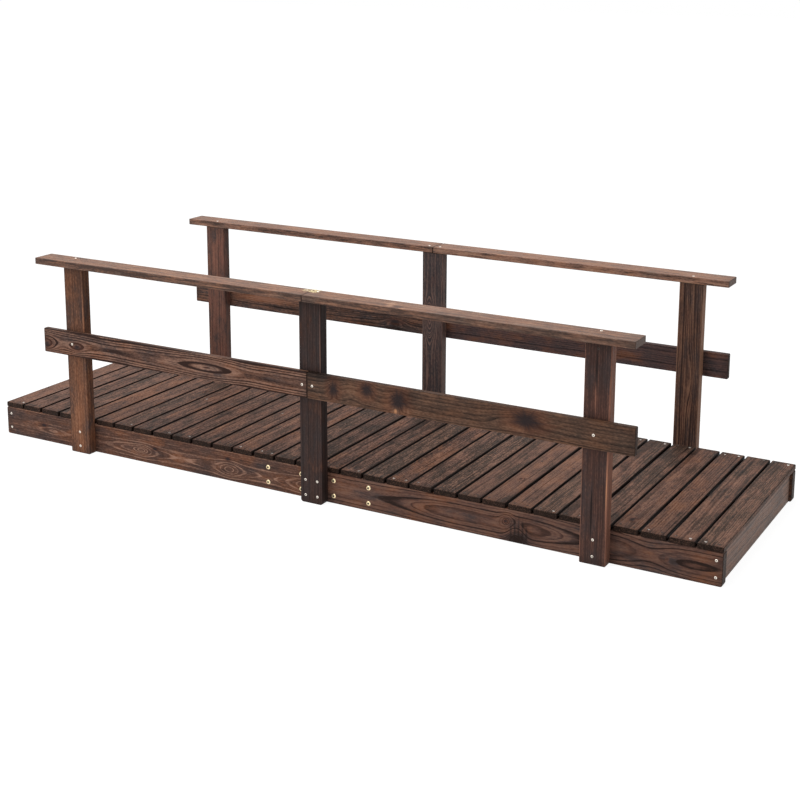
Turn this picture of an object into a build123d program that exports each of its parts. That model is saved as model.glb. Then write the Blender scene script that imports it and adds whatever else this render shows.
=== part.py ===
"""A low wooden garden footbridge with a slatted deck and a rail down each side.

It comes apart at mid-length into two halves. X runs along the bridge, Y across it and Z up; the
origin is on the ground under the middle. The front is the side towards -Y.
"""

from build123d import *
import os
from math import sin

# Overall sizes, mm
bridge_length = 2300
deck_width = 660  # over the outer faces of the side beams
joint_gap = 1  # left open where the two halves of the bridge meet

# Side beams, on edge on the ground, with the boards that tie them
beam_height = 87
beam_thickness = 28
beam_nose = 6  # rounding of a beam's outer end, seen from the side
end_board_thickness = 18
end_board_recess = 8  # behind the beam ends
stringer_thickness = 28
splice_length = 400
splice_thickness = 20
splice_margin = 4  # a splice board is this much shallower than its beam, above and below
stringer_splice_length = 300

# Deck slats, laid across the beams
slat_count = 32
slat_gap = 5.5
slat_thickness = 15
slat_wander = 0.8  # how far a slat was nailed from its even place, at most

# Posts, on the outer faces of the beams
post_width = 70
post_thickness = 30
post_height = 578
end_post_inset = 323  # from an end of the bridge to the middle of an end post
middle_post_foot = 8  # rounding of the middle posts' lower corners

# Rails
rail_overhang = 73  # past the outer edges of the end posts
mid_rail_underside = 306
mid_rail_height = 73
mid_rail_thickness = 17
top_rail_width = 70
top_rail_thickness = 19

# Easing of sawn edges
corner = 3  # corners of a board's face
arris = 2  # edges along a board
slat_arris = 3

# Worked out from the sizes above
half_length = bridge_length / 2
beam_face = deck_width / 2
half_joint = joint_gap / 2
post_spacing = half_length - end_post_inset  # from the middle post to an end post
slat_pitch = (bridge_length + slat_gap) / slat_count
slat_width = slat_pitch - slat_gap
rail_end = post_spacing + post_width / 2 + rail_overhang
end_board_outer = half_length - end_board_recess
end_board_inner = end_board_outer - end_board_thickness


def eased_board(outline, thickness, rim=arris):
    """A board from its face outline, centred on the outline's plane, with both rims eased."""
    board = extrude(outline, amount=thickness / 2, both=True)
    broad_faces = board.faces().filter_by(Plane(outline.face()))
    return fillet(broad_faces.edges(), radius=rim)


def upright_outline(left, right, low, high, y):
    """The face of a board that stands on edge along the bridge."""
    place = Pos((left + right) / 2, y, (low + high) / 2) * Rot(90, 0, 0)
    return place * Rectangle(right - left, high - low)


def upright_board(left, right, low, high, y, thickness):
    """A board on edge along the bridge, in the plane at y, with its corners eased."""
    outline = upright_outline(left, right, low, high, y)
    return eased_board(fillet(outline.vertices(), radius=corner), thickness)


def flat_board(left, right, front, back, middle, thickness, rim=arris):
    """A board lying flat at the height middle, with its corners eased."""
    place = Pos((left + right) / 2, (front + back) / 2, middle)
    outline = place * Rectangle(right - left, back - front)
    return eased_board(fillet(outline.vertices(), radius=corner), thickness, rim)


def half_span(hand, outer):
    """The left and right ends of a piece of one half of the bridge; hand is -1 left, 1 right."""
    return (-outer, -half_joint) if hand < 0 else (half_joint, outer)


def side_beam(side, hand):
    """Half a side beam, with the corners of its outer end rounded."""
    y = side * (beam_face - beam_thickness / 2)
    left, right = half_span(hand, half_length)
    outline = upright_outline(left, right, 0, beam_height, y)
    outer_end = outline.vertices().sort_by(Axis.X)[::hand][2:]
    outline = fillet(outer_end, radius=beam_nose)
    return eased_board(outline, beam_thickness)


def splice_board(y, length):
    """A board across the joint of two half beams."""
    low, high = splice_margin, beam_height - splice_margin
    return upright_board(-length / 2, length / 2, low, high, y, splice_thickness)


def end_board(hand):
    """The board across an end of the bridge, between the side beams."""
    x = hand * (end_board_outer + end_board_inner) / 2
    place = Pos(x, 0, beam_height / 2) * Rot(0, 90, 0)
    outline = place * Rectangle(beam_height, deck_width - 2 * beam_thickness)
    return eased_board(fillet(outline.vertices(), radius=corner), end_board_thickness)


def stringer(hand):
    """Half the board on edge under the middle of the deck."""
    left, right = half_span(hand, end_board_inner)
    return upright_board(left, right, 0, beam_height, 0, stringer_thickness)


def slat(number):
    """A deck slat, counted from the left. The first and last sit flush with the beam ends."""
    at_end = number in (1, slat_count)
    wander = 0 if at_end else slat_wander * sin(2.3 * number)
    left = -half_length + (number - 1) * slat_pitch + wander
    middle = beam_height + slat_thickness / 2
    return flat_board(
        left, left + slat_width, -beam_face, beam_face, middle, slat_thickness, slat_arris
    )


def post(side, place):
    """A post on the outer face of a side beam; place is -1 left, 0 middle, 1 right."""
    x = place * post_spacing
    y = side * (beam_face + post_thickness / 2)
    outline = upright_outline(x - post_width / 2, x + post_width / 2, 0, post_height, y)
    foot = outline.vertices().sort_by(Axis.Z)[:2]
    outline = fillet(foot, radius=corner if place else middle_post_foot)
    return eased_board(outline, post_thickness)


def mid_rail(side, hand):
    """Half a mid rail, on the outer faces of the posts."""
    left, right = half_span(hand, rail_end)
    y = side * (beam_face + post_thickness + mid_rail_thickness / 2)
    high = mid_rail_underside + mid_rail_height
    return upright_board(left, right, mid_rail_underside, high, y, mid_rail_thickness)


def top_rail(side, hand):
    """Half a top rail, flat on the post heads, its inner edge in line with their inner faces."""
    left, right = half_span(hand, rail_end)
    front, back = sorted((side * beam_face, side * (beam_face + top_rail_width)))
    middle = post_height + top_rail_thickness / 2
    return flat_board(left, right, front, back, middle, top_rail_thickness)


sides = {"front": -1, "back": 1}
hands = {"left": -1, "right": 1}
places = {"left": -1, "centre": 0, "right": 1}
splice_plane = beam_face - beam_thickness - splice_thickness / 2
stringer_splice_plane = (stringer_thickness + splice_thickness) / 2

pieces = {}
for side_name, side in sides.items():
    for hand_name, hand in hands.items():
        pieces[f"beam_{side_name}_{hand_name}"] = side_beam(side, hand)
        pieces[f"mid_rail_{side_name}_{hand_name}"] = mid_rail(side, hand)
        pieces[f"top_rail_{side_name}_{hand_name}"] = top_rail(side, hand)
    for place_name, place in places.items():
        pieces[f"post_{side_name}_{place_name}"] = post(side, place)
    pieces[f"splice_board_{side_name}"] = splice_board(side * splice_plane, splice_length)
for hand_name, hand in hands.items():
    pieces[f"end_board_{hand_name}"] = end_board(hand)
    pieces[f"stringer_{hand_name}"] = stringer(hand)
pieces["stringer_splice"] = splice_board(stringer_splice_plane, stringer_splice_length)
for number in range(1, slat_count + 1):
    pieces[f"deck_slat_{number:02d}"] = slat(number)

os.makedirs("parts", exist_ok=True)
for name, piece in pieces.items():
    export_step(piece, f"parts/{name}.step")
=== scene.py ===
"""A low wooden garden footbridge with a slatted deck and a rail down each side.

Stained fir boards, joined with small steel screws, and brass bolts where the two halves meet.
Metres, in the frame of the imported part: X along the bridge, Z up, the front side towards -Y.
"""

import math
import random

import bpy
from mathutils import Euler, Matrix, Vector


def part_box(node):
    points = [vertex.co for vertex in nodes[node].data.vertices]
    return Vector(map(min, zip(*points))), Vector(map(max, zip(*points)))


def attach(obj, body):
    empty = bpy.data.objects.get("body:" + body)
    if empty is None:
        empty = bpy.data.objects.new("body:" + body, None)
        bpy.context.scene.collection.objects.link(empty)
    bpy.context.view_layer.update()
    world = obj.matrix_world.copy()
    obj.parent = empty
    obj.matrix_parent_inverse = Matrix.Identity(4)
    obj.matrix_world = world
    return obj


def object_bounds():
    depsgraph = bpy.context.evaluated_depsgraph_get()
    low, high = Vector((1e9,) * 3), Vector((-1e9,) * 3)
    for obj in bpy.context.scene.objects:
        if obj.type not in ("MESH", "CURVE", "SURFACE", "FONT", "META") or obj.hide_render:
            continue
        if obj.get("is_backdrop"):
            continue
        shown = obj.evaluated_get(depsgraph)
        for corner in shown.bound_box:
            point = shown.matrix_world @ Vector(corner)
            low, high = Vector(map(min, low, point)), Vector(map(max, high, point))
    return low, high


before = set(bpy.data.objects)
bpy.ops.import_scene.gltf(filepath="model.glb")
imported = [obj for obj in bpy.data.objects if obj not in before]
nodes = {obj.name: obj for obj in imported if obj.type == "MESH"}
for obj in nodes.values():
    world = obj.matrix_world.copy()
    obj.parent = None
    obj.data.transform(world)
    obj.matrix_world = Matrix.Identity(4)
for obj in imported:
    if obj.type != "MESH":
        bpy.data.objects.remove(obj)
cad_low, cad_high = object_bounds()


# Side beams: half beams of fir on edge, butted at mid-length, with a splice board behind each
# joint. Sawn, scorched and brushed so that the hard summer rings stand proud, then stained a
# dark brown that leaves the rings showing. Every board of the bridge is of this wood.

mm = 0.001
quarter = math.pi / 2  # a quarter turn
along_bridge = Euler((-quarter, 0, 0))
mix_a, mix_b, mixed = 6, 7, 2  # a colour Mix node's sockets


def srgb(code):
    """A colour written as sRGB hex, in linear light."""
    parts = [int(code[place : place + 2], 16) / 255 for place in (1, 3, 5)]
    linear = [p / 12.92 if p <= 0.04045 else ((p + 0.055) / 1.055) ** 2.4 for p in parts]
    return (*linear, 1)


def add(tree, kind, inputs=None, out=0, **settings):
    """Adds a node with its settings, sets or links its inputs, and gives one of its outputs."""
    made = tree.nodes.new(kind)
    for name, value in settings.items():
        setattr(made, name, value)
    for key, value in (inputs or {}).items():
        if isinstance(value, bpy.types.NodeSocket):
            tree.links.new(value, made.inputs[key])
        else:
            made.inputs[key].default_value = value
    return made.outputs[out] if made.outputs else made


def cleared(owner):
    """The emptied node tree of a new material or world."""
    owner.use_nodes = True
    owner.node_tree.nodes.clear()
    return owner.node_tree


def group(name, kind, inputs, outputs):
    """An empty node group, and its inputs by name."""
    tree = bpy.data.node_groups.new(name, kind)
    for label, socket in inputs.items():
        tree.interface.new_socket(label, in_out="INPUT", socket_type="NodeSocket" + socket)
    for label, socket in outputs.items():
        tree.interface.new_socket(label, in_out="OUTPUT", socket_type="NodeSocket" + socket)
    entry = tree.nodes.new("NodeGroupInput")
    return tree, {label: entry.outputs[label] for label in inputs}


# A branch the tree grew round: the rings bend about it, and its own wood is dark and hard, with
# a ragged rim. With no core it is only rings that bend, or a paler or darker mark. Bold is how
# far the rings bend, which is where they show most.
ray_count = 3.2  # rays round a knot, to the radian
ray_depth = 1.3
core_edge = (2.0, 0.9)  # where the dark core fades in, in its own radii
flare_edge = (3.0, 1.7)  # and the reddish rim round it
knot, at = group(
    "knot",
    "ShaderNodeTree",
    {"Place": "Vector", "Centre": "Vector", "Reach": "Vector", "Lift": "Float",
     "Core": "Float", "Pale": "Float", "Rings": "Float", "Dark": "Float", "Flare": "Float",
     "Glow": "Float", "Bold": "Float"},
    {"Rings": "Float", "Dark": "Float", "Flare": "Float", "Glow": "Float", "Bold": "Float"},
)
away = add(knot, "ShaderNodeVectorMath", {0: at["Place"], 1: at["Centre"]},
           operation="SUBTRACT")
away = add(knot, "ShaderNodeVectorMath", {0: away, 1: at["Reach"]}, operation="DIVIDE")
far = add(knot, "ShaderNodeVectorMath", {0: away}, "Value", operation="LENGTH")
spread = add(knot, "ShaderNodeMath", {0: far, 1: far}, operation="MULTIPLY")
spread = add(knot, "ShaderNodeMath", {0: spread, 1: -1.0}, operation="MULTIPLY")
spread = add(knot, "ShaderNodeMath", {0: spread}, operation="EXPONENT")
rings = add(knot, "ShaderNodeMath", {0: spread, 1: at["Lift"], 2: at["Rings"]},
            operation="MULTIPLY_ADD")
glow = add(knot, "ShaderNodeMath", {0: spread, 1: at["Pale"], 2: at["Glow"]},
           operation="MULTIPLY_ADD")
bold = add(knot, "ShaderNodeMath", {0: at["Lift"]}, operation="ABSOLUTE")
bold = add(knot, "ShaderNodeMath", {0: spread, 1: bold}, operation="MULTIPLY")
bold = add(knot, "ShaderNodeMath", {0: bold, 1: at["Bold"]}, operation="MAXIMUM")
side = add(knot, "ShaderNodeSeparateXYZ", {0: away}).node.outputs
bearing = add(knot, "ShaderNodeMath", {0: side[1], 1: side[0]}, operation="ARCTAN2")
rays = add(knot, "ShaderNodeTexNoise", {"W": bearing, "Scale": ray_count, "Detail": 2.0},
           noise_dimensions="1D")
core = add(knot, "ShaderNodeMath", {0: far, 1: at["Core"]}, operation="DIVIDE")
ragged = add(knot, "ShaderNodeMath", {0: rays, 1: ray_depth, 2: core},
             operation="MULTIPLY_ADD")
dark = add(knot, "ShaderNodeMapRange", {
    "Value": ragged, "From Min": core_edge[0], "From Max": core_edge[1]},
    interpolation_type="SMOOTHSTEP")
dark = add(knot, "ShaderNodeMath", {0: dark, 1: at["Dark"]}, operation="MAXIMUM")
flare = add(knot, "ShaderNodeMapRange", {
    "Value": ragged, "From Min": flare_edge[0], "From Max": flare_edge[1]},
    interpolation_type="SMOOTHSTEP")
flare = add(knot, "ShaderNodeMath", {0: flare, 1: at["Flare"]}, operation="MAXIMUM")
add(knot, "NodeGroupOutput", {
    "Rings": rings, "Dark": dark, "Flare": flare, "Glow": glow, "Bold": bold})

# The year rings of a log, cut by the faces of a board. The pith runs along the board, near it or
# far behind it, and wanders, so the rings meet a face as straight lines or as pointed arches.
# Scales are patterns to the metre: the pith swings over 0.4 m, and the rings are jagged over
# 14 mm along the grain and 8 mm across it.
pith_swing = 2.6
ring_jag = (70, 130, 130)
uneven_years = 0.37  # narrow and wide rings come in runs of some three
uneven_depth = 2.2
summer_end = 0.9  # the share of a ring at which its hard summer wood is darkest
strong_years = 0.8  # faint and strong rings follow more quickly
year_range = (0.3, 0.7)
weakest_year = 0.35
streak_scale = 7.0
year_rings, at = group(
    "year_rings",
    "ShaderNodeTree",
    {"Place": "Vector", "Seed": "Float", "Ring Width": "Float", "Pith Across": "Float",
     "Pith Depth": "Float", "Wander": "Float", "Jag": "Float", "Knots": "Float",
     "Summer": "Float"},
    {"Summer Wood": "Float", "Streak": "Float", "Fibre": "Float", "Blotch": "Float",
     "Fleck": "Float"},
)
along, across, through = add(year_rings, "ShaderNodeSeparateXYZ", {0: at["Place"]}).node.outputs
line = add(year_rings, "ShaderNodeCombineXYZ", {0: along})
drift = add(year_rings, "ShaderNodeTexNoise",
            {"Vector": line, "W": at["Seed"], "Scale": pith_swing, "Detail": 2.0,
             "Roughness": 0.45}, "Color", noise_dimensions="4D")
drift = add(year_rings, "ShaderNodeSeparateColor", {0: drift}).node.outputs
squares = []
for place, pith, swing in ((across, "Pith Across", drift[0]), (through, "Pith Depth", drift[1])):
    swing = add(year_rings, "ShaderNodeMath", {0: swing, 1: 0.5}, operation="SUBTRACT")
    swing = add(year_rings, "ShaderNodeMath", {0: swing, 1: at["Wander"], 2: at[pith]},
                operation="MULTIPLY_ADD")
    reach = add(year_rings, "ShaderNodeMath", {0: place, 1: swing}, operation="SUBTRACT")
    squares.append(add(year_rings, "ShaderNodeMath", {0: reach, 1: reach},
                       operation="MULTIPLY"))
radius = add(year_rings, "ShaderNodeMath", {0: squares[0], 1: squares[1]}, operation="ADD")
radius = add(year_rings, "ShaderNodeMath", {0: radius}, operation="SQRT")
drawn = add(year_rings, "ShaderNodeVectorMath", {0: at["Place"], 1: ring_jag},
            operation="MULTIPLY")
jag = add(year_rings, "ShaderNodeTexNoise",
          {"Vector": drawn, "W": at["Seed"], "Scale": 1.0, "Detail": 1.0},
          noise_dimensions="4D")
jag = add(year_rings, "ShaderNodeMath", {0: jag, 1: at["Jag"], 2: radius},
          operation="MULTIPLY_ADD")
count = add(year_rings, "ShaderNodeMath", {0: jag, 1: at["Ring Width"]}, operation="DIVIDE")
count = add(year_rings, "ShaderNodeMath", {0: count, 1: at["Knots"]}, operation="ADD")
uneven = add(year_rings, "ShaderNodeTexNoise", {
    "W": count, "Scale": uneven_years, "Detail": 1.0}, noise_dimensions="1D")
count = add(year_rings, "ShaderNodeMath", {0: uneven, 1: uneven_depth, 2: count},
            operation="MULTIPLY_ADD")
season = add(year_rings, "ShaderNodeMath", {0: count}, operation="FRACT")
rise = add(year_rings, "ShaderNodeMapRange",
           {"Value": season, "From Min": at["Summer"], "From Max": summer_end},
           interpolation_type="SMOOTHSTEP")
fall = add(year_rings, "ShaderNodeMapRange",
           {"Value": season, "From Min": 1.0, "From Max": summer_end},
           interpolation_type="SMOOTHSTEP")
summer = add(year_rings, "ShaderNodeMath", {0: rise, 1: fall}, operation="MULTIPLY")
year = add(year_rings, "ShaderNodeTexNoise", {
    "W": count, "Scale": strong_years, "Detail": 0.0}, noise_dimensions="1D")
year = add(year_rings, "ShaderNodeMapRange", {
    "Value": year, "From Min": year_range[0], "From Max": year_range[1],
    "To Min": weakest_year})
summer = add(year_rings, "ShaderNodeMath", {0: summer, 1: year}, operation="MULTIPLY")
found = {"Summer Wood": summer}
slow = add(year_rings, "ShaderNodeMath", {0: along, 1: streak_scale}, operation="MULTIPLY")
follow = add(year_rings, "ShaderNodeCombineXYZ", {0: slow, 1: count})
found["Streak"] = add(year_rings, "ShaderNodeTexNoise",
                      {"Vector": follow, "W": at["Seed"], "Scale": 1.0, "Detail": 4.0,
                       "Roughness": 0.68}, noise_dimensions="4D")
# Along and across the grain, to the metre, and the noise's detail. Real fibres are 0.03 mm thick
# and brushed flecks some 0.5 mm: both are drawn coarser, 4 and 2.6 mm, so that they show.
grades = {"Fibre": (20, 250, 3), "Blotch": (12, 30, 3), "Fleck": (130, 380, 1)}
for label, (lengthwise, crosswise, detail) in grades.items():
    drawn = add(year_rings, "ShaderNodeVectorMath",
                {0: at["Place"], 1: (lengthwise, crosswise, crosswise)}, operation="MULTIPLY")
    found[label] = add(year_rings, "ShaderNodeTexNoise",
                       {"Vector": drawn, "W": at["Seed"], "Scale": 1.0, "Detail": detail,
                        "Roughness": 0.6}, noise_dimensions="4D")
add(year_rings, "NodeGroupOutput", found)

# Where a point lies on its board: on a cut end, near one, on a long edge or on a narrow side.
# Each zone fades in between two depths in mm.
board_edges, at = group(
    "board_edges",
    "ShaderNodeTree",
    {"Place": "Vector", "Middle": "Vector", "Half": "Vector"},
    {"End": "Float", "Near End": "Float", "Arris": "Float", "Side": "Float"},
)
off = add(board_edges, "ShaderNodeVectorMath", {0: at["Place"], 1: at["Middle"]},
          operation="SUBTRACT")
off = add(board_edges, "ShaderNodeVectorMath", {0: off}, operation="ABSOLUTE")
off = add(board_edges, "ShaderNodeVectorMath", {0: at["Half"], 1: off}, operation="SUBTRACT")
inset = add(board_edges, "ShaderNodeSeparateXYZ", {0: off}).node.outputs
outer = add(board_edges, "ShaderNodeMath", {0: inset[1], 1: inset[2]}, operation="MAXIMUM")
zones = {}
for label, depth, start, stop in (("End", inset[0], 2.2, 0.8), ("Near End", inset[0], 30, 0),
                                  ("Arris", outer, 3.5, 1), ("Side", inset[1], 3, 0.5)):
    zones[label] = add(board_edges, "ShaderNodeMapRange",
                       {"Value": depth, "From Min": start * mm, "From Max": stop * mm},
                       interpolation_type="SMOOTHSTEP")
add(board_edges, "NodeGroupOutput", zones)

# The stain on the brushed wood: dark where the soft wood drank it, with reddish patches where it
# wore thin and bluish ones where scorching shows through. Each board's edges and narrow sides
# can be made lighter or darker; on the slats that darkening is painted shade in the gaps as well
# as stain. It gives the eye a matt brown that varies from ring to ring. A tone of 0 is the deep
# colour, middle_tone the middle one and 1 the light one.
plain_tone = 0.62  # the soft wood between the rings
middle_tone = 0.5
bold_from = 0.8  # rings bent this much show in full, and straight ones as Quiet says
warm_hues = (0.48, 0.72)
cool_hues = (0.52, 0.28)
rim_share = 0.5
heart_share = 0.85
raw_from = 0.45  # the stain is off a mark paler than this, and raw wood shows
raw_share = 0.85
end_grey = 0.3  # how far the last 30 mm take the colour of the cut end
worn_range = (0.35, 0.7)  # a cut end is scuffed where flecks are strong
worn_share = (0.85, 0.35)
fibre_relief = 0.6  # beside a summer ring's height of 1
fibre_range = (0.3, 0.7)
stain_rough = (0.5, 0.7)
oil_stain, at = group(
    "oil_stain",
    "ShaderNodeTree",
    {"Summer Wood": "Float", "Streak": "Float", "Fibre": "Float", "Blotch": "Float",
     "Fleck": "Float", "Dark": "Float", "Flare": "Float", "Glow": "Float", "Bold": "Float",
     "End": "Float", "Near End": "Float", "Arris": "Float", "Side": "Float",
     "Light": "Color", "Middle": "Color", "Deep": "Color", "Warm": "Color", "Cool": "Color",
     "Cut": "Color", "Lines": "Float", "Streaks": "Float",
     "Fibres": "Float", "Flecks": "Float", "Patches": "Float", "Cast": "Float",
     "Arris Tone": "Float", "Sides": "Float", "Mottle": "Float", "Quiet": "Float"},
    {"Colour": "Color", "Height": "Float", "Rough": "Float"},
)
knot_colour, rim_colour, raw_colour = srgb("#1f1b1e"), srgb("#70402b"), srgb("#c98f66")
clear = add(oil_stain, "ShaderNodeMapRange", {
    "Value": at["Bold"], "From Max": bold_from, "To Min": at["Quiet"]})
tone = add(oil_stain, "ShaderNodeMath", {0: at["Summer Wood"], 1: at["Lines"]},
           operation="MULTIPLY")
tone = add(oil_stain, "ShaderNodeMath", {0: tone, 1: clear}, operation="MULTIPLY")
tone = add(oil_stain, "ShaderNodeMath", {0: plain_tone, 1: tone}, operation="SUBTRACT")
for pattern, strength in (("Streak", "Streaks"), ("Fibre", "Fibres"), ("Fleck", "Flecks"),
                          ("Blotch", "Mottle")):
    swing = add(oil_stain, "ShaderNodeMath", {0: at[pattern], 1: 0.5}, operation="SUBTRACT")
    tone = add(oil_stain, "ShaderNodeMath", {0: swing, 1: at[strength], 2: tone},
               operation="MULTIPLY_ADD")
# Edges and narrow sides lighten or darken by each board's settings; on the slats this is painted
# shade in the gaps as well as stain.
for zone, strength in (("Arris", "Arris Tone"), ("Side", "Sides")):
    tone = add(oil_stain, "ShaderNodeMath", {0: at[zone], 1: at[strength], 2: tone},
               operation="MULTIPLY_ADD")
tone = add(oil_stain, "ShaderNodeMath", {0: tone, 1: at["Glow"]}, operation="ADD")
deep_part = add(oil_stain, "ShaderNodeMapRange", {"Value": tone, "From Max": middle_tone})
light_part = add(oil_stain, "ShaderNodeMapRange", {"Value": tone, "From Min": middle_tone})
hue = add(oil_stain, "ShaderNodeMath", {0: at["Blotch"], 1: at["Cast"]}, operation="ADD")
hue = add(oil_stain, "ShaderNodeMath", {0: at["Glow"], 1: 0.5, 2: hue},
          operation="MULTIPLY_ADD")
middle = at["Middle"]
for tint, (start, stop) in (("Warm", warm_hues), ("Cool", cool_hues)):
    patch = add(oil_stain, "ShaderNodeMapRange",
                {"Value": hue, "From Min": start, "From Max": stop},
                interpolation_type="SMOOTHSTEP")
    patch = add(oil_stain, "ShaderNodeMath", {0: patch, 1: at["Patches"]},
                operation="MULTIPLY")
    middle = add(oil_stain, "ShaderNodeMix", {0: patch, mix_a: middle, mix_b: at[tint]}, mixed,
                 data_type="RGBA")
colour = add(oil_stain, "ShaderNodeMix", {0: deep_part, mix_a: at["Deep"], mix_b: middle},
             mixed, data_type="RGBA")
colour = add(oil_stain, "ShaderNodeMix", {0: light_part, mix_a: colour, mix_b: at["Light"]},
             mixed, data_type="RGBA")
rim = add(oil_stain, "ShaderNodeMath", {0: at["Flare"], 1: at["Streak"]}, operation="MULTIPLY")
rim = add(oil_stain, "ShaderNodeMath", {0: rim, 1: rim_share}, operation="MULTIPLY")
colour = add(oil_stain, "ShaderNodeMix", {0: rim, mix_a: colour, mix_b: rim_colour}, mixed,
             data_type="RGBA")
heart = add(oil_stain, "ShaderNodeMath", {0: at["Dark"], 1: heart_share},
            operation="MULTIPLY")
colour = add(oil_stain, "ShaderNodeMix", {0: heart, mix_a: colour, mix_b: knot_colour},
             mixed, data_type="RGBA")
raw = add(oil_stain, "ShaderNodeMapRange",
          {"Value": at["Glow"], "From Min": raw_from, "From Max": 1.0, "To Max": raw_share},
          interpolation_type="SMOOTHSTEP")
colour = add(oil_stain, "ShaderNodeMix", {0: raw, mix_a: colour, mix_b: raw_colour}, mixed,
             data_type="RGBA")
grey = add(oil_stain, "ShaderNodeMath", {0: at["Near End"], 1: end_grey},
           operation="MULTIPLY")
worn = add(oil_stain, "ShaderNodeMapRange", {
    "Value": at["Fleck"], "From Min": worn_range[0], "From Max": worn_range[1],
    "To Min": worn_share[0], "To Max": worn_share[1]})
cut = add(oil_stain, "ShaderNodeMath", {0: at["End"], 1: worn, 2: grey},
          operation="MULTIPLY_ADD", use_clamp=True)
colour = add(oil_stain, "ShaderNodeMix", {0: cut, mix_a: colour, mix_b: at["Cut"]}, mixed,
             data_type="RGBA")
height = add(oil_stain, "ShaderNodeMath", {
    0: at["Fibre"], 1: fibre_relief, 2: at["Summer Wood"]}, operation="MULTIPLY_ADD")
rough = add(oil_stain, "ShaderNodeMapRange", {
    "Value": at["Fibre"], "From Min": fibre_range[0], "From Max": fibre_range[1],
    "To Min": stain_rough[0], "To Max": stain_rough[1]})
add(oil_stain, "NodeGroupOutput", {"Colour": colour, "Height": height, "Rough": rough})

brushed_relief = 0.5 * mm  # how proud the brush leaves the hard rings


def stained_fir(name, turn, light, middle, deep, warm="#744932", cool="#3b3637",
                cut="#2c1f19", lines=0.45, streaks=0.8, fibres=1.0, flecks=0.8, patches=0.8,
                cast=0, arris_tone=0.1, sides=0, ring_width=6, summer=0.3, pith_across=80,
                pith_depth=-50, wander=16, jag=0.8, gloss=0.12, mottle=0.2, shade=0, quiet=1,
                knots=()):
    """Gives a board of stained fir its material. Sizes are in mm. Lines, streaks, fibres, flecks,
    patches and mottle are how strongly each pattern shows, with minus lines for pale rings.
    The arris setting lightens the long edges when plus and darkens them when minus, sides does
    the same for the narrow sides and shade for the whole board; on the slats the darkened edges
    and sides are painted shade in the gaps as well as stain. A plus cast is reddish and a minus
    one bluish. Quiet is what is left of the rings where the grain is straight. Each knot is an
    arch, a branch or a mark, at its place along the board and its height from the middle, with
    its half sizes."""
    low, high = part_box(name)
    board_turn = turn.to_matrix()
    centre = board_turn @ ((low + high) / 2)
    half = board_turn @ ((high - low) / 2)
    half = Vector([abs(size) for size in half])
    material = bpy.data.materials.new("stained_fir_" + name)
    tree = cleared(material)
    place = add(tree, "ShaderNodeTexCoord", out="Object")
    place = add(tree, "ShaderNodeMapping", {
        "Vector": place, "Rotation": turn, "Location": (0, -centre.y, -centre.z)})
    bent = {"Rings": 0.0, "Dark": 0.0, "Flare": 0.0, "Glow": float(shade), "Bold": 0.0}
    for along, height, reach, rise, lift, core, pale in knots:
        bent = add(tree, "ShaderNodeGroup", {
            "Place": place, "Centre": (along * mm, height * mm, 0),
            "Reach": (reach * mm, rise * mm, 1), "Lift": lift, "Core": core, "Pale": pale,
            **bent,
        }, node_tree=knot).node.outputs
        bent = {output.name: output for output in bent}
    figure = add(tree, "ShaderNodeGroup", {
        "Place": place, "Seed": draw.uniform(0, 90), "Ring Width": ring_width * mm,
        "Pith Across": pith_across * mm, "Pith Depth": pith_depth * mm, "Wander": wander * mm,
        "Jag": jag * mm, "Knots": bent["Rings"], "Summer": summer,
    }, node_tree=year_rings).node.outputs
    edges = add(tree, "ShaderNodeGroup", {
        "Place": place, "Middle": (centre.x, 0, 0), "Half": half,
    }, node_tree=board_edges).node.outputs
    finish = add(tree, "ShaderNodeGroup", {
        **{output.name: output for output in [*figure, *edges]},
        "Dark": bent["Dark"], "Flare": bent["Flare"], "Glow": bent["Glow"],
        "Bold": bent["Bold"], "Light": srgb(light),
        "Middle": srgb(middle), "Deep": srgb(deep), "Warm": srgb(warm), "Cool": srgb(cool),
        "Cut": srgb(cut), "Lines": lines, "Streaks": streaks, "Fibres": fibres,
        "Flecks": flecks, "Patches": patches, "Cast": cast, "Arris Tone": arris_tone, "Sides": sides,
        "Mottle": mottle, "Quiet": quiet,
    }, node_tree=oil_stain).node.outputs
    relief = add(tree, "ShaderNodeBump", {
        "Height": finish["Height"], "Distance": brushed_relief, "Strength": 1.0})
    surface = add(tree, "ShaderNodeBsdfPrincipled", {
        "Base Color": finish["Colour"], "Roughness": finish["Rough"],
        "Specular IOR Level": gloss, "Normal": relief})
    add(tree, "ShaderNodeOutputMaterial", {"Surface": surface})
    mesh = nodes[name].data
    mesh.materials.clear()
    mesh.materials.append(material)


no_core = 0.02  # a core too small to show


def arch(along, height, reach, rise, rings, paler=0):
    """A bend of the rings round a branch out of sight. Minus rings close up into an eye."""
    return along, height, reach, rise, rings, no_core, paler


def branch(along, height, reach, rise, rings, core, paler=0):
    """A branch cut through by the face, whose dark core is that share of its reach."""
    return along, height, reach, rise, rings, core, paler


def mark(along, height, reach, rise, paler):
    """A paler or darker mark that leaves the rings as they run."""
    return along, height, reach, rise, 0, no_core, paler


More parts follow.
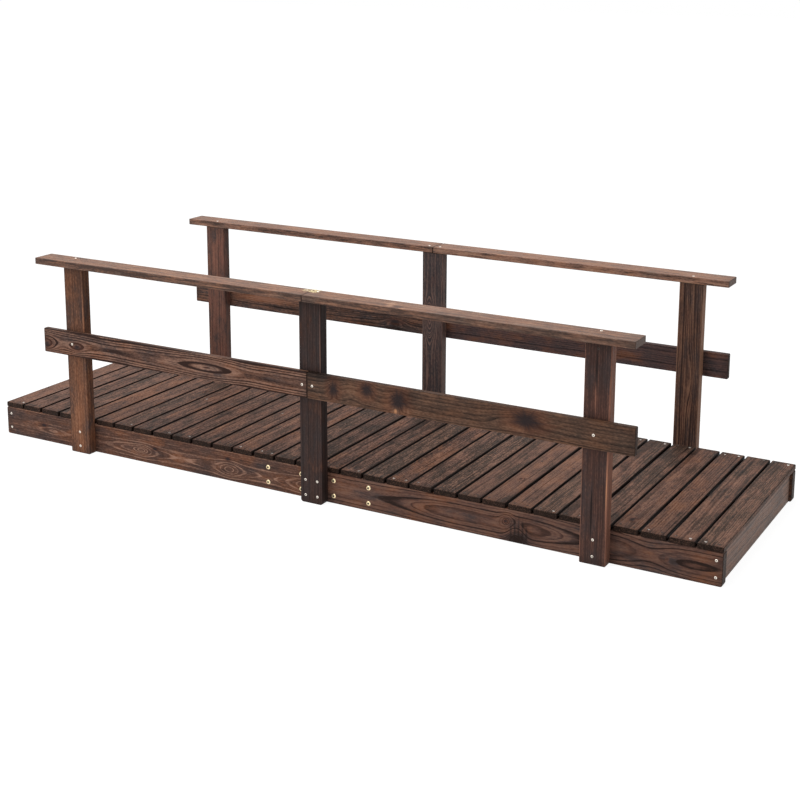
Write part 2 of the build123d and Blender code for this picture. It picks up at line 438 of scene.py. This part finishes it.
# The near right beam has a long flame, a knot with a dark fan and five rays below it, and an eye
# near its end. The near left one shows pale rings in pointed arches, and three small branches.
draw = random.Random(7)
beam_look = {
    "beam_front_right": dict(
        light="#7f5f50", middle="#573d34", deep="#22140f", lines=0.75, summer=0.45, streaks=0.6,
        flecks=0.5, shade=0.02, pith_across=1, pith_depth=-20, wander=4, ring_width=7, jag=0.8,
        quiet=0.9, knots=[
            arch(425, 2, 145, 40, -2.9), arch(604, -26, 24, 28, 5), arch(577, 12, 17, 20, -3),
            arch(640, 0, 120, 45, -2.6), branch(575, 10, 12, 8, 0, 0.5, -0.1),
            mark(610, -36, 28, 14, -0.55), mark(614, -10, 34, 34, -0.2),
            mark(450, 4, 80, 8, -0.15), mark(590, -16, 2.6, 20, -0.3),
            mark(601, -10, 2.6, 26, -0.3), mark(612, -6, 2.6, 30, -0.3),
            mark(623, -10, 2.6, 26, -0.3), mark(634, -16, 2.6, 20, -0.3),
            arch(965, 0, 60, 60, 1.4, 0.08), arch(1070, -4, 66, 18, -0.9),
            mark(1030, -4, 18, 9, -0.32), mark(1068, -6, 26, 8, 0.1),
            mark(900, -4, 50, 24, -0.1), mark(1010, 0, 170, 200, -0.1)]),
    "beam_front_left": dict(
        light="#93705e", middle="#5a4036", deep="#2a1a15", lines=-1.1, summer=0.55, streaks=0.6,
        shade=-0.26, cast=0.16, pith_across=-9, pith_depth=-3, wander=3, ring_width=6, jag=0.6,
        quiet=0.25, knots=[
            branch(-999, 6, 15, 8, 0, 0.7, -0.4), arch(-962, -6, 40, 10, -1.6, 0.1),
            arch(-670, -6, 50, 16, -1.6), arch(-612, -8, 36, 20, -2.8, 0.08),
            branch(-567, 5, 14, 7, 0, 0.7, -0.4), arch(-470, -9, 80, 18, 0.8),
            mark(-445, -8, 40, 8, 0.35), branch(-303, 21, 13, 7, 0, 0.8, -0.4),
            arch(-299, -10, 36, 24, -3, 0.05), arch(-165, -9, 60, 18, 0.8),
            mark(-165, -9, 50, 8, 0.2), arch(-30, -9, 50, 24, -2.6)]),
}
for name in sorted(nodes):
    if name.startswith(("beam_", "splice_", "stringer")):
        stained_fir(name, along_bridge, **{
            "light": "#8a5f48", "middle": "#5a3f33", "deep": "#20130f",
            "pith_across": draw.uniform(-12, 12), "wander": 30, **beam_look.get(name, {})})


# Bolts: brass-plated socket bolts through the beams and the splice boards, four pairs a side,
# each screwed into a sleeve nut of the same look inside. Turned heads with an eased rim.

bolt_from_joint = (0.053, 0.164)
bolt_heights = (0.0215, 0.0655)
bolt_head = 0.0135
bolt_head_height = 0.0016
hexagon = 0.007
hexagon_depth = 0.0012
head_bury = 0.0002  # a head's underside is pressed this far into the wood
top_share = 0.37  # the radius of a head's flat top, as a share of its whole width
recess_below = 0.95  # a face whose middle is lower than this in the head is in the recess


def drive_heads(name, sides, sink_sides, sink_turns):
    """A tree that sets a fastener head on each point, facing outwards, with its drive recess
    cut by a prism for each turn. Slot narrows the prism on one side, for a cross."""
    tree, at = group(name, "GeometryNodeTree",
                     {"Geometry": "Geometry", "Head": "Float", "Height": "Float",
                      "Drive": "Float", "Slot": "Float", "Depth": "Float", "Seed": "Int",
                      "Finish": "Material"}, {"Geometry": "Geometry"})
    radius = add(tree, "ShaderNodeMath", {0: at["Head"], 1: 0.5}, operation="MULTIPLY")
    face = add(tree, "ShaderNodeMath", {0: at["Head"], 1: top_share}, operation="MULTIPLY")
    head = add(tree, "GeometryNodeMeshCone", {
        "Vertices": sides, "Radius Bottom": radius, "Radius Top": face,
        "Depth": at["Height"]})
    for turn in sink_turns:
        width = add(tree, "ShaderNodeMath", {0: at["Drive"], 1: 0.5}, operation="MULTIPLY")
        depth = add(tree, "ShaderNodeMath", {0: at["Depth"], 1: 2.0}, operation="MULTIPLY")
        tool = add(tree, "GeometryNodeMeshCylinder", {
            "Vertices": sink_sides, "Radius": width, "Depth": depth})
        top = add(tree, "ShaderNodeCombineXYZ", {2: at["Height"]})
        across = add(tree, "ShaderNodeCombineXYZ", {0: 1.0, 1: at["Slot"], 2: 1.0})
        tool = add(tree, "GeometryNodeTransform", {"Geometry": tool, "Scale": across})
        tool = add(tree, "GeometryNodeTransform", {
            "Geometry": tool, "Translation": top, "Rotation": Euler((0, 0, turn))})
        head = add(tree, "GeometryNodeMeshBoolean", {"Mesh 1": head, "Mesh 2": tool},
                   operation="DIFFERENCE")
    spot = add(tree, "GeometryNodeInputPosition")
    height = add(tree, "ShaderNodeSeparateXYZ", {0: spot}, "Z")
    flat = add(tree, "ShaderNodeVectorMath", {0: spot, 1: (1, 1, 0)}, operation="MULTIPLY")
    aside = add(tree, "ShaderNodeVectorMath", {0: flat}, "Value", operation="LENGTH")
    inner = add(tree, "ShaderNodeMath", {0: aside, 1: width}, operation="LESS_THAN")
    edge = add(tree, "ShaderNodeMath", {0: at["Height"], 1: recess_below},
               operation="MULTIPLY")
    sunk = add(tree, "ShaderNodeMath", {0: height, 1: edge}, operation="LESS_THAN")
    sunk = add(tree, "ShaderNodeMath", {0: inner, 1: sunk}, operation="MULTIPLY")
    head = add(tree, "GeometryNodeStoreNamedAttribute", {
        "Geometry": head, "Name": "recess", "Value": sunk}, domain="FACE", data_type="FLOAT")
    outward = add(tree, "GeometryNodeInputNamedAttribute", {"Name": "outward"},
                  data_type="FLOAT_VECTOR")
    facing = add(tree, "FunctionNodeAlignRotationToVector", {"Vector": outward}, axis="Z")
    spin = add(tree, "FunctionNodeRandomValue", {2: 0.0, 3: math.tau, "Seed": at["Seed"]}, 1,
               data_type="FLOAT")
    spin = add(tree, "ShaderNodeCombineXYZ", {2: spin})
    spin = add(tree, "FunctionNodeEulerToRotation", {0: spin})
    facing = add(tree, "FunctionNodeRotateRotation", {"Rotation": facing, "Rotate By": spin},
                 rotation_space="LOCAL")
    heads = add(tree, "GeometryNodeInstanceOnPoints", {
        "Points": at["Geometry"], "Instance": head, "Rotation": facing})
    heads = add(tree, "GeometryNodeRealizeInstances", {"Geometry": heads})
    heads = add(tree, "GeometryNodeSetMaterial", {"Geometry": heads, "Material": at["Finish"]})
    add(tree, "NodeGroupOutput", {"Geometry": heads})
    return tree


def bake(name, tree, points, outward, values):
    """Runs a tree on points with their outward directions, and keeps its plain mesh."""
    mesh = bpy.data.meshes.new(name + "_points")
    mesh.from_pydata(points, [], [])
    mesh.attributes.new("outward", "FLOAT_VECTOR", "POINT")
    mesh.attributes["outward"].data.foreach_set("vector", [x for way in outward for x in way])
    holder = bpy.data.objects.new(name + "_points", mesh)
    bpy.context.scene.collection.objects.link(holder)
    modifier = holder.modifiers.new("tree", "NODES")
    modifier.node_group = tree
    for socket in tree.interface.items_tree:
        if socket.name in values:
            modifier[socket.identifier] = values[socket.name]
    made = holder.evaluated_get(bpy.context.evaluated_depsgraph_get())
    piece = bpy.data.objects.new(name, bpy.data.meshes.new_from_object(made))
    bpy.data.objects.remove(holder)
    bpy.context.scene.collection.objects.link(piece)
    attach(piece, "root")


smear_edge = 0.06
recess_dirt_and_shade = "#1c120d"
bare_rough, stained_rough = 0.3, 0.6
stained_metal = 0.2  # how much of the metal's mirror comes through the stain


def plated(name, colour, dull, cell, stained_share):
    """Plated steel, a small bright point to the eye where it is bare and a dull one where the
    stain was brushed over it, in smears one cell across. The recess is painted dark and without
    its metal shine, for dirt and painted shade together."""
    material = bpy.data.materials.new(name)
    tree = cleared(material)
    place = add(tree, "ShaderNodeTexCoord", out="Object")
    smear = add(tree, "ShaderNodeTexNoise", {"Vector": place, "Scale": 1 / cell, "Detail": 3.0})
    smear = add(tree, "ShaderNodeMapRange", {
        "Value": smear, "From Min": stained_share - smear_edge,
        "From Max": stained_share + smear_edge},
        interpolation_type="SMOOTHSTEP")
    recess_grime_and_shade = add(tree, "ShaderNodeAttribute", out="Fac", attribute_name="recess")
    outside_recess = add(tree, "ShaderNodeMath", {0: 1.0, 1: recess_grime_and_shade}, operation="SUBTRACT")
    tint = add(tree, "ShaderNodeMix", {0: smear, mix_a: srgb(dull), mix_b: srgb(colour)}, mixed,
               data_type="RGBA")
    # The recess takes a dark colour and loses its metal shine: dirt together with painted shade.
    tint = add(tree, "ShaderNodeMix", {0: recess_grime_and_shade, mix_a: tint, mix_b: srgb(recess_dirt_and_shade)}, mixed,
               data_type="RGBA")
    rough = add(tree, "ShaderNodeMapRange", {
        "Value": smear, "To Min": stained_rough, "To Max": bare_rough})
    metal = add(tree, "ShaderNodeMapRange", {"Value": smear, "To Min": stained_metal})
    metal = add(tree, "ShaderNodeMath", {0: metal, 1: outside_recess}, operation="MULTIPLY")
    surface = add(tree, "ShaderNodeBsdfPrincipled", {
        "Base Color": tint, "Roughness": rough, "Metallic": metal})
    add(tree, "ShaderNodeOutputMaterial", {"Surface": surface})
    return material


bolt_tree = drive_heads("socket_bolts", sides=24, sink_sides=6, sink_turns=[0])
beam_face = -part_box("beam_front_left")[0].y
splice_face = -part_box("splice_board_front")[1].y
points, outward = [], []
for side in (-1, 1):
    for x in bolt_from_joint:
        for hand in (-1, 1):
            for z in bolt_heights:
                points.append((hand * x, side * (beam_face - head_bury), z))
                outward.append((0, side, 0))
                points.append((hand * x, side * (splice_face + head_bury), z))
                outward.append((0, -side, 0))
brass = plated("brass_plated_steel", "#f8e2b6", "#c8a062", cell=0.02, stained_share=0.3)
bake("bolts", bolt_tree, points, outward, {
    "Head": bolt_head, "Height": bolt_head_height, "Drive": hexagon, "Slot": 1.0,
    "Depth": hexagon_depth, "Seed": 3, "Finish": brass})


# End boards: short boards on edge across each end of the bridge, let in between the side beams
# and screwed through them. The same sawn fir, plainer than the beams, and painted paler as
# painted sheen that grazing light lays on their faces.

across_bridge = Euler((-quarter, -quarter, 0))
for name in ("end_board_left", "end_board_right"):
    stained_fir(name, across_bridge, light="#92705d", middle="#6b5144", deep="#35251e",
                gloss=0.35, patches=0.5, knots=[arch(20, 5, 60, 20, 1, 0.15)])


# Deck slats: thirty-two short boards laid flat across the beams, each sawn from its own part of
# a log, so that tone and figure change from one to the next. Their sawn edges and sides are
# painted dark, partly for the stain they drank and partly as painted shade between the slats,
# which makes the gaps between them look black.

slat_turn = Euler((0, 0, -quarter))
# How reddish or bluish each slat is, and how light, from the left.
slat_casts = {
    1: 0.0, 2: -0.03, 3: -0.01, 4: -0.08, 5: 0.14, 6: 0.04, 7: -0.04, 8: 0.07, 9: 0.04,
    10: 0.04, 11: 0.02, 12: 0.04, 13: 0.03, 14: 0.08, 15: -0.1, 16: -0.02, 17: 0.1, 18: -0.02,
    19: -0.3, 20: 0.14, 21: -0.08, 22: -0.18, 23: -0.08, 24: 0.02, 25: 0.02, 26: -0.25,
    27: -0.08, 28: -0.1, 29: 0.02, 30: 0.06, 31: -0.06, 32: -0.14,
}
slat_shades = {
    1: 0.06, 2: 0, 3: -0.13, 4: -0.03, 5: -0.06, 6: -0.04, 7: -0.07, 8: -0.08, 9: -0.12,
    10: -0.18, 11: -0.1, 12: -0.1, 13: -0.1, 14: -0.12, 15: -0.11, 16: -0.23, 17: -0.13,
    18: -0.15, 19: -0.08, 20: -0.1, 21: -0.06, 22: -0.02, 23: 0, 24: 0.04, 25: 0.06, 26: 0.05,
    27: 0, 28: -0.03, 29: 0.04, 30: -0.02, 31: 0.03, 32: 0.06,
}
# Rubbed streaks on slats 12, 13, 14 and 20, scuffed front ends on 17 to 19, and four branches.
slat_knots = {
    7: [branch(60, -8, 16, 12, 2, 0.5)], 8: [branch(0, 14, 12, 9, 2, 0.5)],
    12: [mark(-120, -14, 150, 4, 0.2)], 13: [mark(-60, 12, 180, 4, 0.22)],
    14: [mark(-80, -12, 160, 5, 0.28), mark(-60, 8, 120, 5, -0.15)],
    17: [mark(-322, -12, 7, 16, 0.3)], 18: [mark(-316, 8, 12, 16, 0.35)],
    19: [mark(-318, -4, 10, 22, 0.3)],
    20: [mark(-80, 0, 120, 8, 0.12), mark(70, 6, 60, 10, -0.2)],
    24: [branch(-150, 6, 16, 9, 3, 0.5)], 29: [branch(-270, 4, 16, 11, 2, 0.8)],
}
far_end_darker = mark(330, 0, 150, 300, -0.12)
first_smooth, last_slat = 23, 32  # from slat 23 on the brush left less relief
for number, cast in slat_casts.items():
    rough_sawn = number < first_smooth
    marks = slat_knots.get(number, []) + ([far_end_darker] if number > first_smooth else [])
    stained_fir(f"deck_slat_{number:02d}", slat_turn, light="#8d6a59", middle="#5e443a",
                deep="#150b07", warm="#6f4935", cool="#44362e", cut="#1c120d", lines=0.35,
                gloss=0.08, streaks=0.6, fibres=1.4 if rough_sawn else 1.0,
                flecks=1.5 if rough_sawn else 0.9, patches=0.9, mottle=0.6,
                # The minus edge and side settings paint shade in the gaps as well as the stain on
                # the slat edges.
                arris_tone=-0.3, sides=-0.8 if number < last_slat else 0, cast=cast,
                shade=slat_shades[number], pith_across=draw.uniform(30, 110),
                pith_depth=draw.uniform(-90, -25), ring_width=draw.uniform(4, 6), knots=marks)


# Posts: six short boards of stained fir on end, screwed to the outer faces of the beams. The
# middle ones came out nearly black and the left front one much lighter. Thin long pale marks run
# down the arrises, and thin dark ones are drying cracks.

upright = Euler((quarter, 0, quarter))
post_look = {
    "post_front_left": dict(
        light="#96694f", middle="#5f4031", deep="#35221a", cast=0.04, streaks=0.5, fibres=0.6,
        lines=0.3, sides=-0.03, shade=-0.05, pith_depth=-30, wander=6, knots=[
            mark(430, 32, 60, 1.7, 0.6), mark(120, -5, 110, 20, 0.12),
            mark(470, 0, 150, 100, -0.08)]),
    "post_front_centre": dict(
        light="#5b4640", middle="#382824", deep="#1a1210", shade=-0.07, streaks=0.4, fibres=0.4,
        flecks=0.4, lines=0.3, patches=0.8, cast=-0.06, cool="#332c2c", sides=-0.22,
        pith_depth=-30, wander=6, knots=[
            mark(430, 32, 110, 1.7, 0.7)]),
    "post_front_right": dict(
        light="#8a5f4e", middle="#432f2a", deep="#201411", streaks=0.6, lines=0.15, fibres=0.3,
        flecks=0.35, mottle=0.15, patches=0.5, warm="#5c3a30", sides=0.3, shade=-0.09,
        pith_depth=-30, wander=6, knots=[
            mark(140, -6, 55, 2, -0.9), mark(505, -3, 45, 2, -0.6), mark(440, -4, 40, 1.8, 0.35),
            mark(330, 32, 120, 1.7, 0.5), mark(190, 32, 80, 1.7, 0.9)]),
    "post_back_left": dict(
        light="#8e6150", middle="#5f433a", deep="#2a1a14", patches=1.0, warm="#6c433a",
        streaks=0.5, fibres=0.5, flecks=0.5, lines=0.35, mottle=0.4, sides=-0.1, knots=[
            mark(470, -8, 50, 12, 0.2)]),
    "post_back_centre": dict(
        light="#6d564e", middle="#403231", deep="#191213", cast=-0.08, patches=0.9, streaks=0.4,
        fibres=0.5, lines=-1.6, summer=0.5, pith_across=-8, pith_depth=-4, ring_width=5,
        shade=-0.12, quiet=0.3, knots=[
            arch(364, -10, 52, 24, -6, 0.05), mark(500, 0, 80, 90, -0.06),
            mark(190, -15, 30, 4, 0.5)]),
    "post_back_right": dict(
        light="#8c6853", middle="#49332b", deep="#1c110e", streaks=0.9, fibres=0.4, flecks=0.35,
        mottle=0.35, patches=0.6, warm="#5f3d31", sides=0.45, lines=0.5, knots=[
            arch(300, 10, 90, 12, 2, 0.1)]),
}
for name, look in post_look.items():
    stained_fir(name, upright, **{"pith_across": draw.uniform(60, 110), **look})


# Mid rails: half rails of stained fir on edge, screwed to the outer faces of the posts and
# butted over the middle ones. The near right one has the largest dark knots.

rail_look = {
    "mid_rail_front_left": dict(
        light="#957260", middle="#664a3e", deep="#2a1812", lines=1.2, streaks=0.7, pith_across=0,
        pith_depth=-18, wander=4, ring_width=5, jag=0.5, knots=[
            branch(-925, -12, 34, 26, -4, 0.4, -0.1), branch(-808, -7, 30, 16, -2, 0.5, -0.1),
            arch(-690, 0, 90, 80, 0.5), arch(-190, 0, 60, 80, 0.4), arch(-336, 0, 110, 50, -1),
            arch(-336, 0, 88, 15, -0.8, 0.08), mark(-655, -2, 90, 6, -0.25),
            mark(-125, -3, 90, 6, -0.25)]),
    "mid_rail_front_right": dict(
        light="#7b5c49", middle="#4d382d", deep="#1b110c", warm="#6f4a34", cool="#39332e",
        lines=0.4, streaks=0.55, fibres=0.7, ring_width=8, patches=0.5, mottle=0.2, cast=0.06,
        shade=-0.06, knots=[
            branch(84, 1, 16, 22, 3, 1.0, -0.2), branch(187, 15, 20, 20, 3, 1.0, -0.2),
            arch(135, 8, 40, 34, 2.5, 0.1), mark(120, 0, 150, 80, 0.04),
            branch(281, -2, 18, 22, 3, 1.4, -0.25), mark(304, 12, 26, 18, -0.3),
            mark(300, -24, 3, 12, 0.3), mark(312, -26, 3, 10, 0.3), mark(275, -28, 9, 12, 0.95),
            branch(647, 8, 34, 20, 3, 1.2, -0.25), mark(664, -4, 30, 10, -0.25),
            mark(632, -18, 16, 10, 0.25), mark(30, 34, 90, 10, -0.5), arch(590, 0, 40, 20, 2)]),
    "mid_rail_back_left": dict(
        light="#86604e", middle="#4d3a33", deep="#1c110e", patches=1.0, streaks=1.3, knots=[
            branch(-150, -8, 40, 14, 3, 0.5, -0.1), mark(-650, 4, 90, 8, 0.5),
            mark(-200, 0, 180, 100, -0.12)]),
    "mid_rail_back_right": dict(
        light="#654b44", middle="#473736", deep="#1a1110", streaks=0.5, fibres=0.6),
}
for name, look in rail_look.items():
    stained_fir(name, along_bridge, **look)


# Top rails: half rails of stained fir laid flat on the post heads and screwed down from above.
# Their pale colour is painted sheen of the lamps on their tops, their narrow sides are darker,
# and the near right one is chipped beside a knot.

top_look = {
    "top_rail_front_left": dict(middle="#72503f"),
    "top_rail_front_right": dict(
        middle="#72503f", knots=[
            mark(254, 2, 12, 10, 0.55), branch(286, -22, 18, 12, 1, 0.5, -0.35),
            mark(262, -20, 9, 9, 0.6), mark(300, -30, 14, 3, 0.8), mark(495, -2, 20, 14, 0.12)]),
    "top_rail_back_left": dict(middle="#7c5848", sides=-0.2),
    "top_rail_back_right": dict(middle="#866150", sides=-0.1),
}
laid_flat = Euler((0, 0, 0))
# The pale light colour of the top rails stands for painted sheen on their tops.
for name, look in top_look.items():
    stained_fir(name, laid_flat, **{
        "light": "#9d7a64", "deep": "#38241a", "warm": "#8a5d42", "cool": "#5c4d44",
        "cut": "#4a382f", "sides": -0.3, "gloss": 0.3, "streaks": 1.3, "fibres": 1.8, **look})


# Screws: small zinc-plated steel ones with a cross recess, driven home through every board
# into the one that carries it. Most on the deck were stained over with the slats.

screw_head = 0.008
screw_head_height = 0.0008
cross_arm = 0.005
cross_slot = 0.45
cross_depth = 0.0006
screw_tree = drive_heads("cross_screws", sides=12, sink_sides=4,
                         sink_turns=[quarter / 2, 3 * quarter / 2])


def screws(name, spots, finish):
    """Screws at (x, y, z, outward direction)."""
    points = [(x - dx * head_bury, y - dy * head_bury, z - dz * head_bury)
              for x, y, z, (dx, dy, dz) in spots]
    bake(name, screw_tree, points, [spot[3] for spot in spots], {
        "Head": screw_head, "Height": screw_head_height, "Drive": cross_arm, "Slot": cross_slot,
        "Depth": cross_depth, "Seed": 5, "Finish": finish})


zinc = plated("zinc_plated_steel", "#ece2d6", "#8c8076", cell=0.03, stained_share=0.3)
stained_zinc = plated("zinc_plated_steel_stained_over", "#e0d8cf", "#3a2c26", cell=0.03,
                      stained_share=0.57)
dull_zinc = plated("zinc_plated_steel_stained_twice", "#d8cfc6", "#3a2c26", cell=0.03,
                   stained_share=0.68)
up = (0, 0, 1)
beam_end_inset = 0.017
post_screw_inset = 0.019  # these three from the joint of the halves
mid_rail_inset = 0.016
top_rail_inset = 0.018
screw_heights = (0.022, 0.066)
post_face = -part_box("post_front_left")[0].y
rail_face = -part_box("mid_rail_front_left")[0].y
post_middle = sum(corner.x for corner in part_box("post_front_right")) / 2
rail_height = sum(corner.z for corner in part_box("mid_rail_front_left")) / 2
rail_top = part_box("top_rail_front_left")[1].z
rail_screw_line = beam_face + (post_face - beam_face) / 2  # over the middle of the posts
frame_screws = []
for side in (-1, 1):
    out = (0, side, 0)
    for hand in (-1, 1):
        for z in screw_heights:
            frame_screws.append((hand * (cad_high.x - beam_end_inset), side * beam_face, z, out))
            frame_screws.append((hand * post_middle, side * post_face, z, out))
            frame_screws.append((hand * post_screw_inset, side * post_face, z, out))
        for x in (mid_rail_inset, post_middle):
            frame_screws.append((hand * x, side * rail_face, rail_height, out))
        for x in (top_rail_inset, post_middle):
            frame_screws.append((hand * x, side * rail_screw_line, rail_top, up))
screws("frame_screws", frame_screws, zinc)

# Two to each end of a slat, into the side beams.
pair_offset = 0.018
beam_screw_line = 0.314
stray_along, stray_across = 0.002, 0.003  # how far a hand-driven screw strays
deck_screws = []
for number in slat_casts:
    low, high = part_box(f"deck_slat_{number:02d}")
    middle = (low.x + high.x) / 2
    for offset in (-pair_offset, pair_offset):
        for y in (-beam_screw_line, beam_screw_line):
            deck_screws.append((middle + offset + draw.uniform(-stray_along, stray_along),
                                y + draw.uniform(-stray_across, stray_across), high.z, up))
screws("deck_screws", deck_screws, stained_zinc)

# One in the middle of a slat, left and right of its centre line by turns, into the stringer.
# Before them comes one dull head near the top of the right front post.
turn_offset = 0.012
stray_stringer = 0.006
high_on_post = 0.556
stringer_screws = [(post_middle, -post_face, high_on_post, (0, -1, 0))]
for number in slat_casts:
    low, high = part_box(f"deck_slat_{number:02d}")
    middle = (low.x + high.x) / 2
    offset = turn_offset if number % 2 else -turn_offset
    stringer_screws.append((middle + offset, draw.uniform(-stray_stringer, stray_stringer),
                            high.z, up))
screws("stringer_screws", stringer_screws, dull_zinc)


# Splinters: raw fir torn up along the inner edge of the near rail where the halves meet, pale
# because no stain reached it. Slivers lying flat, which stand less than a millimetre proud.

smallest, largest = 0.5, 1.2  # the slivers' sizes, as shares of the full one
sliver, at = group("slivers", "GeometryNodeTree",
                   {"Geometry": "Geometry", "Length": "Float", "Width": "Float",
                    "Flatness": "Float", "Swing": "Float", "Seed": "Int",
                    "Finish": "Material"}, {"Geometry": "Geometry"})
shard = add(sliver, "GeometryNodeMeshCone", {
    "Vertices": 5, "Radius Top": 0.0, "Radius Bottom": at["Width"], "Depth": at["Length"]})
shard = add(sliver, "GeometryNodeTransform", {
    "Geometry": shard, "Rotation": Euler((0, quarter, 0))})
thin = add(sliver, "ShaderNodeCombineXYZ", {0: 1.0, 1: 1.0, 2: at["Flatness"]})
shard = add(sliver, "GeometryNodeTransform", {"Geometry": shard, "Scale": thin})
left_swing = add(sliver, "ShaderNodeMath", {0: at["Swing"], 1: -1.0}, operation="MULTIPLY")
bearing = add(sliver, "FunctionNodeRandomValue", {2: left_swing, 3: at["Swing"],
                                                  "Seed": at["Seed"]}, 1, data_type="FLOAT")
bearing = add(sliver, "ShaderNodeCombineXYZ", {2: bearing})
bearing = add(sliver, "FunctionNodeEulerToRotation", {0: bearing})
growth = add(sliver, "FunctionNodeRandomValue", {2: smallest, 3: largest,
                                                 "Seed": at["Seed"]}, 1, data_type="FLOAT")
shards = add(sliver, "GeometryNodeInstanceOnPoints", {
    "Points": at["Geometry"], "Instance": shard, "Rotation": bearing, "Scale": growth})
shards = add(sliver, "GeometryNodeRealizeInstances", {"Geometry": shards})
shards = add(sliver, "GeometryNodeSetMaterial", {"Geometry": shards,
                                                 "Material": at["Finish"]})
add(sliver, "NodeGroupOutput", {"Geometry": shards})

# Raw fir gives the eye a pale straw yellow, finely streaked: fibres 1 mm thick and 17 mm long,
# far coarser than real ones, so that they show at all.
fibre_scale = (60, 900, 900)  # to the metre
raw_fir = bpy.data.materials.new("raw_fir")
tree = cleared(raw_fir)
place = add(tree, "ShaderNodeTexCoord", out="Object")
fibre = add(tree, "ShaderNodeMapping", {"Vector": place, "Scale": fibre_scale})
fibre = add(tree, "ShaderNodeTexNoise", {"Vector": fibre, "Scale": 1.0})
tint = add(tree, "ShaderNodeMix", {0: fibre, mix_a: srgb("#b89a62"), mix_b: srgb("#f6ecc4")},
           mixed, data_type="RGBA")
surface = add(tree, "ShaderNodeBsdfPrincipled", {"Base Color": tint, "Roughness": 0.75})
add(tree, "ShaderNodeOutputMaterial", {"Surface": surface})

splinter_count = 50
torn_along = (-0.028, 0.018)
torn_across = (0.333, 0.36)
splinter_points = [(draw.uniform(*torn_along), -draw.uniform(*torn_across), rail_top)
                   for _ in range(splinter_count)]
bake("splinters", sliver, splinter_points, [up] * splinter_count, {
    "Length": 0.012, "Width": 0.0016, "Flatness": 0.45, "Swing": 0.6, "Seed": 9,
    "Finish": raw_fir})


# Studio: a plain white floor that keeps the bridge's soft shadow, a wide lamp overhead and a
# weaker one before the front side.

floor_reach = 30
floor_mesh = bpy.data.meshes.new("floor")
corners = [(-floor_reach, -floor_reach, 0), (floor_reach, -floor_reach, 0),
           (floor_reach, floor_reach, 0), (-floor_reach, floor_reach, 0)]
floor_mesh.from_pydata(corners, [], [(0, 1, 2, 3)])
floor = bpy.data.objects.new("floor", floor_mesh)
bpy.context.scene.collection.objects.link(floor)
floor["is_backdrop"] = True


def seen_directly(tree):
    """One for rays that come from the camera or a glossy surface, nought for soft light."""
    seen = add(tree, "ShaderNodeLightPath").node.outputs
    direct = add(tree, "ShaderNodeMath", {0: seen["Is Camera Ray"], 1: seen["Is Glossy Ray"]},
                 operation="MAXIMUM")
    return add(tree, "ShaderNodeMath", {0: direct, 1: seen["Is Transmission Ray"]},
               operation="MAXIMUM")


# Matt paper to the light that falls on it. Seen directly it is nearly all glow, so that it is
# plain white but for a faint shadow.
white = (1, 1, 1, 1)
paper_grey = (0.8, 0.8, 0.8, 1)
shadow_grey = (0.22, 0.22, 0.22, 1)
paper_glow = 0.9
paper = bpy.data.materials.new("white_paper")
tree = cleared(paper)
direct = seen_directly(tree)
matt = add(tree, "ShaderNodeBsdfDiffuse", {"Color": paper_grey})
faint = add(tree, "ShaderNodeBsdfDiffuse", {"Color": shadow_grey})
glow = add(tree, "ShaderNodeEmission", {"Color": white, "Strength": paper_glow})
bright = add(tree, "ShaderNodeAddShader", {0: faint, 1: glow})
surface = add(tree, "ShaderNodeMixShader", {0: direct, 1: matt, 2: bright})
add(tree, "ShaderNodeOutputMaterial", {"Surface": surface})
floor_mesh.materials.append(paper)

soft_strength = 0.55
world = bpy.data.worlds.new("studio")
bpy.context.scene.world = world
tree = cleared(world)
direct = seen_directly(tree)
soft = add(tree, "ShaderNodeBackground", {"Color": white, "Strength": soft_strength})
plain = add(tree, "ShaderNodeBackground", {"Color": white, "Strength": 1.0})
surface = add(tree, "ShaderNodeMixShader", {0: direct, 1: soft, 2: plain})
add(tree, "ShaderNodeOutputWorld", {"Surface": surface})

# Each lamp's place, the side of its square and its watts.
lamps = {"overhead": ((-0.6, -0.6, 3.4), 3.2, 95), "front": ((-2.6, -4.2, 2.4), 2.4, 70)}
aim = Vector((0, 0, 0.3))
for name, (place, size, watts) in lamps.items():
    light = bpy.data.lights.new(name, "AREA")
    light.shape = "SQUARE"
    light.size = size
    light.energy = watts
    lamp = bpy.data.objects.new(name, light)
    lamp.location = place
    lamp.rotation_euler = (aim - lamp.location).to_track_quat("-Z", "Y").to_euler()
    bpy.context.scene.collection.objects.link(lamp)

# The view from the right and above. The shift frames it without leaning the uprights.
camera_place = (2.067, -3.505, 1.490)
camera_yaw, camera_pitch, camera_roll = 28.43, -11.94, 0.42  # degrees
camera_lens = 65.14  # mm
camera_shift = (-0.0375, -0.18)
camera = bpy.data.cameras.new("camera")
camera.lens = camera_lens
camera.shift_x, camera.shift_y = camera_shift
viewer = bpy.data.objects.new("camera", camera)
viewer.matrix_world = (
    Matrix.Translation(camera_place)
    @ Matrix.Rotation(math.radians(camera_yaw), 4, "Z")
    @ Matrix.Rotation(math.radians(90 + camera_pitch), 4, "X")
    @ Matrix.Rotation(math.radians(camera_roll), 4, "Z")
)
bpy.context.scene.collection.objects.link(viewer)
bpy.context.scene.camera = viewer
bpy.context.scene.view_settings.view_transform = "Standard"

low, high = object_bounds()
